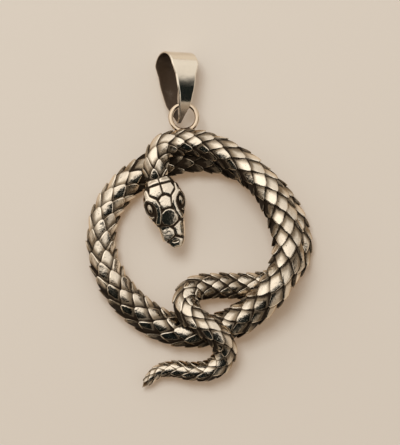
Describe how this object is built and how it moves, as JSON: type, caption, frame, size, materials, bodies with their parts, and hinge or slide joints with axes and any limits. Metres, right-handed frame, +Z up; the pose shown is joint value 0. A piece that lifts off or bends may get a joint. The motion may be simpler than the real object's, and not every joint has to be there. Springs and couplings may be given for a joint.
{
  "type": "snake pendant",
  "caption": "Coiled snake cast in metal, its head laid over the coil and its tail looped over it, with a ring soldered at the top and a folded bail hung loose in the ring.",
  "frame": {"origin": "on the floor, under the middle of the whole pendant's bounding box", "axes": "the pendant lies on its back: +Z points up to the face with the head, +Y runs from the tail to the bail, +X is to the right of the pendant seen from above"},
  "size_m": [0.0318, 0.0478, 0.0077],
  "materials": {
    "oxidised_silver": "oxidised silver, dark in the grooves and rubbed bright on the scales",
    "polished_silver": "polished silver sheet"
  },
  "bodies": {
    "root": {"snake": "oxidised_silver", "bail": "polished_silver"}
  },
  "joints": []
}
